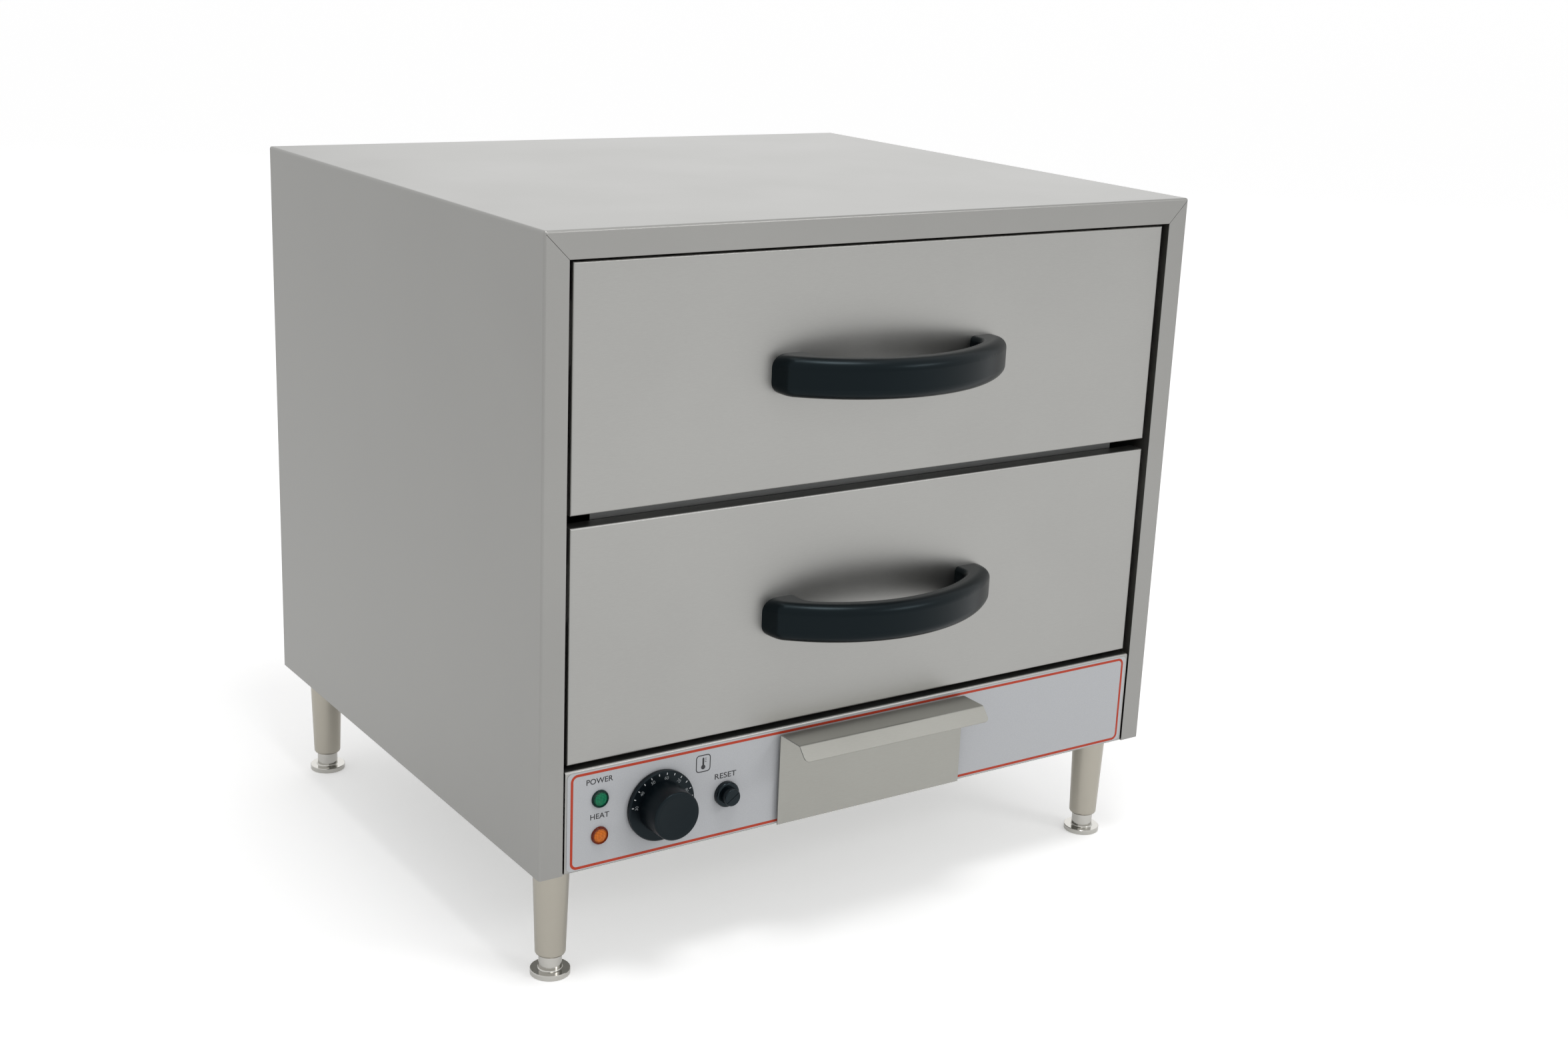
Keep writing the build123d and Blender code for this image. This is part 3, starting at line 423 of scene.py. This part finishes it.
# ---- control panel ----
# A folded sheet with a printed silver film, which carries a red border line,
# black words over the lamps and the button, and a thermometer sign.
panel_steel = steel(
    "panel_steel", colour=(0.375, 0.373, 0.36, 1), shade=(0.348, 0.346, 0.334, 1),
    roughness=(0.34, 0.40), grain="X", streak=0.06, bump=0.01,
)
paint_nodes(panel_steel, "control_panel")
film_silver = rough_solid(
    "film_silver", colour=(0.53, 0.542, 0.562, 1), shade=(0.40, 0.411, 0.428, 1),
    roughness=0.42, scale=1500, bump=0.05, distance=0.0001,
)
paint_nodes(film_silver, "panel_overlay")
print_thickness = 0.00006
letter_swell = 0.010
border_inset_side = 0.0028
border_inset_top = 0.0011
border_inset_bottom = 0.0008
border_width = 0.0021
border_corner = 0.0058
film_low, film_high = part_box("panel_overlay")
border_red = rough_solid(
    "border_red", colour=(0.48, 0.05, 0.02, 1), shade=(0.43, 0.043, 0.017, 1), roughness=0.45,
    scale=900, bump=0.02, distance=0.0001, specular=0.25,
)
print_black = rough_solid(
    "print_black", colour=(0.018, 0.018, 0.021, 1), shade=(0.012, 0.012, 0.014, 1),
    roughness=0.45, scale=900, bump=0.02, distance=0.0001,
)


def rounded(width, height, radius, centre=(0, 0), steps=8):
    """Points of a rounded rectangle, counterclockwise."""
    points = []
    for turn, (sx, sy) in enumerate(((1, 1), (-1, 1), (-1, -1), (1, -1))):
        for step in range(steps + 1):
            a = pi / 2 * (turn + step / steps)
            x = centre[0] + sx * (width / 2 - radius) + radius * cos(a)
            y = centre[1] + sy * (height / 2 - radius) + radius * sin(a)
            points.append((x, y))
    return points


def flat_print(name, outlines):
    """A thin printed shape in XY; each outline inside another is a hole."""
    curve = bpy.data.curves.new(name, "CURVE")
    curve.dimensions = "2D"
    curve.fill_mode = "BOTH"
    curve.extrude = print_thickness / 2
    for outline in outlines:
        line = curve.splines.new("POLY")
        line.points.add(len(outline) - 1)
        line.use_cyclic_u = True
        for point, (x, y) in zip(line.points, outline):
            point.co = (x, y, 0, 1)
    return drawn(curve, name)


def drawn(curve, name):
    """The mesh of a filled curve or of a word."""
    holder = bpy.data.objects.new(name, curve)
    bpy.context.scene.collection.objects.link(holder)
    bpy.context.view_layer.update()
    depsgraph = bpy.context.evaluated_depsgraph_get()
    mesh = bpy.data.meshes.new_from_object(holder.evaluated_get(depsgraph))
    mesh.name = name
    bpy.data.objects.remove(holder)
    return mesh


def word(text, height, width=None, swell=0.0):
    """Block letters in XY about the origin, scaled to their real size."""
    curve = bpy.data.curves.new(text, "FONT")
    curve.body = text
    curve.extrude = print_thickness / 2
    curve.offset = swell
    mesh = drawn(curve, text)
    corners = [v.co for v in mesh.vertices]
    low = Vector([min(c[axis] for c in corners) for axis in range(3)])
    high = Vector([max(c[axis] for c in corners) for axis in range(3)])
    tall = height / (high.y - low.y)
    wide = width / (high.x - low.x) if width else tall
    mesh.transform(Matrix.Translation((-(low.x + high.x) / 2, -(low.y + high.y) / 2, 0)))
    mesh.transform(Matrix.Diagonal((wide, tall, 1, 1)))
    return mesh


def upright(mesh, x, y, z, turn=0.0):
    """Stands a print up on a face that looks towards -Y."""
    mesh.transform(Matrix.Rotation(turn, 4, "Z"))
    mesh.transform(Matrix.Translation((x, y, z)) @ Matrix.Rotation(pi / 2, 4, "X"))
    return mesh


film_face = film_low.y - print_thickness / 2
border_x = (film_low.x + film_high.x) / 2
border_z = (film_low.z + border_inset_bottom + film_high.z - border_inset_top) / 2
border_size = (
    film_high.x - film_low.x - 2 * border_inset_side,
    film_high.z - film_low.z - border_inset_top - border_inset_bottom,
)
inside_size = [length - 2 * border_width for length in border_size]
border = flat_print("border_line", [
    rounded(*border_size, border_corner),
    rounded(*inside_size, border_corner - border_width),
])
border = upright(border, border_x, film_face, border_z)
place("border_line", border, border_red, "case")

for text, x, z, width, height in (
    ("POWER", -0.24995, 0.16815, 0.0225, 0.0045),
    ("HEAT", -0.24955, 0.13945, 0.0161, 0.0043),
    ("RESET", -0.1389, 0.1498, 0.0196, 0.0045),
):
    mesh = upright(word(text, height, width, letter_swell), x, film_face, z)
    place(f"word_{text.lower()}", mesh, print_black, "case")

sign_x = -0.1596
sign_z = 0.16345
sign_size = (0.0132, 0.0143)
sign_corner = 0.003
sign_line = 0.0008
bulb_radius = 0.0019
stem_half = 0.0008
bulb_drop = 0.003
stem_rise = 0.004
mark_size = (0.0015, 0.0004)
mark_gap = 0.0013
mark_heights = (0.0012, 0.0026, 0.0040)


def thermometer():
    """Outline of the sign's thermometer: a bulb below a round-topped stem."""
    start = atan2((bulb_radius**2 - stem_half**2) ** 0.5, stem_half)
    arc = [pi - start + (pi + 2 * start) * n / 24 for n in range(25)]
    bulb = [(bulb_radius * cos(a), bulb_radius * sin(a) - bulb_drop) for a in arc]
    turns = (pi * n / 8 for n in range(9))
    cap = [(stem_half * cos(a), stem_half * sin(a) + stem_rise) for a in turns]
    return bulb + cap


frame_line = flat_print("sign_frame", [
    rounded(*sign_size, sign_corner),
    rounded(sign_size[0] - 2 * sign_line, sign_size[1] - 2 * sign_line, sign_corner - sign_line),
])
frame_line = upright(frame_line, sign_x, film_face, sign_z)
place("sign_frame", frame_line, print_black, "case")
mark_outlines = [
    rounded(*mark_size, mark_size[1] / 3, (stem_half + mark_gap, height), 3)
    for height in mark_heights
]
tube = flat_print("sign_thermometer", [thermometer(), *mark_outlines])
tube = upright(tube, sign_x, film_face, sign_z)
place("sign_thermometer", tube, print_black, "case")


# ---- pilot lamps ----
# Snap-in lamps: a smooth rim round a lens of clear coloured plastic that is
# moulded in a fine grid of prisms.
lens_radius = 0.0060
lens_dome = 0.0013
prism_pitch = 0.00115
prism_depth = 0.00035
lens_cells = 56
lens_smooth_angle = 20
lens_height = 0.0014
lens_polish = 0.1
lens_shine = 0.2
rim_start = 0.72
groove_shade = 0.25
rim_profile = (
    (0.0057, 0.0012), (0.0060, 0.0019), (0.0065, 0.0021), (0.0070, 0.0012),
    (0.0071, 0), (0.0060, 0), (0.0060, -0.026), (0, -0.026),
)


def lens_middle(node):
    """Middle of a lamp, on the face of the film."""
    low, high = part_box(node)
    return Vector(((low.x + high.x) / 2, film_low.y, (low.z + high.z) / 2))


def clear_plastic(name, colour, dark, middle, glow):
    """Coloured lens plastic, lit a little from within and dark in its rim."""
    material, nodes, links, surface = shader(name)
    surface.inputs["Roughness"].default_value = lens_polish
    surface.inputs["Specular IOR Level"].default_value = lens_shine
    surface.inputs["Emission Strength"].default_value = glow
    spot = nodes.new("ShaderNodeTexCoord")
    centred = nodes.new("ShaderNodeMapping")
    centred.inputs["Location"].default_value = (-middle.x, 0, -middle.z)
    centred.inputs["Scale"].default_value = (1, 0, 1)
    links.new(spot.outputs["Object"], centred.inputs["Vector"])
    radius = nodes.new("ShaderNodeVectorMath")
    radius.operation = "LENGTH"
    links.new(centred.outputs["Vector"], radius.inputs[0])
    edge = nodes.new("ShaderNodeMapRange")
    edge.inputs["From Min"].default_value = lens_radius * rim_start
    edge.inputs["From Max"].default_value = lens_radius
    links.new(radius.outputs["Value"], edge.inputs["Value"])
    grooves = nodes.new("ShaderNodeMath")
    grooves.operation = "MULTIPLY"
    for socket, direction in enumerate("XZ"):
        rows = nodes.new("ShaderNodeTexWave")
        rows.bands_direction = direction
        rows.inputs["Scale"].default_value = pi / 10 / prism_pitch
        links.new(spot.outputs["Object"], rows.inputs["Vector"])
        links.new(rows.outputs["Fac"], grooves.inputs[socket])
    lit = nodes.new("ShaderNodeMapRange")
    lit.inputs["From Max"].default_value = 0.5
    lit.inputs["To Min"].default_value = groove_shade
    links.new(grooves.outputs[0], lit.inputs["Value"])
    depth = nodes.new("ShaderNodeMix")
    depth.data_type = "RGBA"
    depth.inputs["A"].default_value = dark
    depth.inputs["B"].default_value = colour
    links.new(lit.outputs["Result"], depth.inputs["Factor"])
    tone = nodes.new("ShaderNodeMix")
    tone.data_type = "RGBA"
    tone.inputs["B"].default_value = dark
    links.new(edge.outputs["Result"], tone.inputs["Factor"])
    links.new(depth.outputs["Result"], tone.inputs["A"])
    links.new(tone.outputs["Result"], surface.inputs["Base Color"])
    links.new(tone.outputs["Result"], surface.inputs["Emission Color"])
    return material


def saw(value):
    """Height of a row of ridges, 0 to 1."""
    return abs(value / prism_pitch % 1 - 0.5) * 2


def lens(name, node, material):
    """Lens, rim and body of one lamp, in place of its CAD node."""
    shape = bmesh.new()
    lathe(shape, rim_profile)
    cells = {"x_segments": lens_cells, "y_segments": lens_cells}
    grid = bmesh.ops.create_grid(shape, size=lens_radius, **cells)["verts"]
    for v in grid:
        share = hypot(v.co.x, v.co.y) / lens_radius
        ridges = prism_depth * (saw(v.co.x) + saw(v.co.y)) / 2
        v.co.z = lens_height + lens_dome * (1 - share**2) - ridges
    outside = [v for v in grid if hypot(v.co.x, v.co.y) > lens_radius]
    bmesh.ops.delete(shape, geom=outside, context="VERTS")
    mesh = upright(finished(shape, name, lens_smooth_angle), *lens_middle(node))
    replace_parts(place(name, mesh, material, "case"), node)


green = clear_plastic(
    "green_plastic", colour=(0.0, 0.24, 0.1, 1), dark=(0.0, 0.016, 0.012, 1),
    middle=lens_middle("power_lamp"), glow=0.15,
)
lens("power_lens", "power_lamp", green)
amber = clear_plastic(
    "amber_plastic", colour=(0.75, 0.2, 0.015, 1), dark=(0.1, 0.011, 0.002, 1),
    middle=lens_middle("heat_lamp"), glow=0.2,
)
lens("heat_lens", "heat_lamp", amber)


# ---- thermostat dial ----
# One satin black moulding, with grey degrees and white ticks printed round its
# skirt, on the steel shaft of the thermostat behind the panel. The button and
# its ring are of a glossier black, the bodies behind the panel ivory.
# Painted reflection: the knob and button blacks carry the same cool blue tint in their colour and
# their gloss.
dial_black = rough_solid(
    "dial_black", colour=(0.002, 0.0035, 0.005, 1), shade=(0.001, 0.0022, 0.0035, 1),
    roughness=0.34, scale=2200, bump=0.1, distance=0.0002, specular=0.22, tint=painted_cool_reflection,
)
reset_black = rough_solid(
    "reset_black", colour=(0.002, 0.0035, 0.005, 1), shade=(0.001, 0.0022, 0.0035, 1),
    roughness=0.2, scale=2200, bump=0.05, distance=0.0002, specular=0.3, tint=painted_cool_reflection,
)
dial_white = rough_solid(
    "dial_white", colour=(0.55, 0.57, 0.58, 1), shade=(0.45, 0.47, 0.48, 1), roughness=0.5,
    scale=900, bump=0.02, distance=0.0001,
)
dial_grey = rough_solid(
    "dial_grey", colour=(0.30, 0.32, 0.33, 1), shade=(0.22, 0.24, 0.25, 1), roughness=0.5,
    scale=900, bump=0.02, distance=0.0001,
)
ivory = rough_solid(
    "ivory", colour=(0.7, 0.67, 0.58, 1), shade=(0.62, 0.59, 0.5, 1), roughness=0.5, scale=300,
    bump=0.1, distance=0.0003,
)
paint_nodes(dial_black, "thermostat_knob")
paint_nodes(reset_black, "reset_collar", "reset_button")
paint_nodes(ivory, "thermostat_body", "reset_body", "terminal_block")
paint_nodes(zinc, "thermostat_shaft")
dial_low, dial_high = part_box("thermostat_knob")
dial_x = (dial_low.x + dial_high.x) / 2
dial_z = (dial_low.z + dial_high.z) / 2
skirt_thickness = 0.004
skirt_face = dial_high.y - skirt_thickness - print_thickness / 2
first_degrees = 30
last_degrees = 110
shown_degrees = 57.5
degree_turn = radians(3)
number_radius = 0.0228
number_height = 0.0026
tick_radius = 0.0262
tick_length = 0.0019
tick_width = 0.00078
tick_round = 0.00038

for degrees in range(first_degrees, last_degrees + 1, 5):
    turn = (shown_degrees - degrees) * degree_turn
    x = dial_x - tick_radius * sin(turn)
    z = dial_z + tick_radius * cos(turn)
    tick = flat_print("tick", [rounded(tick_width, tick_length, tick_round, steps=4)])
    tick = upright(tick, x, skirt_face, z, turn)
    place(f"dial_tick_{degrees}", tick, dial_white, "thermostat_dial")
    if degrees % 10 == 0:
        x = dial_x - number_radius * sin(turn)
        z = dial_z + number_radius * cos(turn)
        mesh = upright(word(str(degrees), number_height), x, skirt_face, z, turn)
        place(f"dial_number_{degrees}", mesh, dial_grey, "thermostat_dial")


# ---- water tray ----
# A welded stainless tray on runners under the cavity. Its front plate is
# folded into a finger lip.
tray_steel = steel(
    "tray_steel", colour=(0.352, 0.349, 0.322, 1), shade=(0.324, 0.321, 0.296, 1),
    roughness=(0.3, 0.36), grain="X", streak=0.06, bump=0.01,
)
paint_nodes(tray_steel, "water_tray", "water_tray_front")


# ---- cable gland ----
# A black nylon gland with its nut, low in the back panel. It holds no cord,
# as the photograph shows none.
nylon = rough_solid(
    "nylon", colour=(0.02, 0.02, 0.021, 1), shade=(0.012, 0.012, 0.012, 1), roughness=0.5,
    scale=1200, bump=0.15, distance=0.0002,
)
paint_nodes(nylon, "cable_gland")


# ---- legs and feet ----
# Turned stainless legs, satin, bolted under the base, on polished feet that
# screw in and out.
leg_steel = steel(
    "leg_steel", colour=(0.43, 0.405, 0.35, 1), shade=(0.382, 0.36, 0.312, 1),
    roughness=(0.26, 0.34), grain="Z", streak=8,
)
foot_steel = steel(
    "foot_steel", colour=(0.55, 0.54, 0.51, 1), shade=(0.48, 0.47, 0.44, 1),
    roughness=(0.1, 0.18), grain="Z", streak=8,
)
for end in ("front", "rear"):
    for hand in ("left", "right"):
        paint_nodes(leg_steel, f"leg_{end}_{hand}")
        paint_nodes(foot_steel, f"foot_{end}_{hand}")
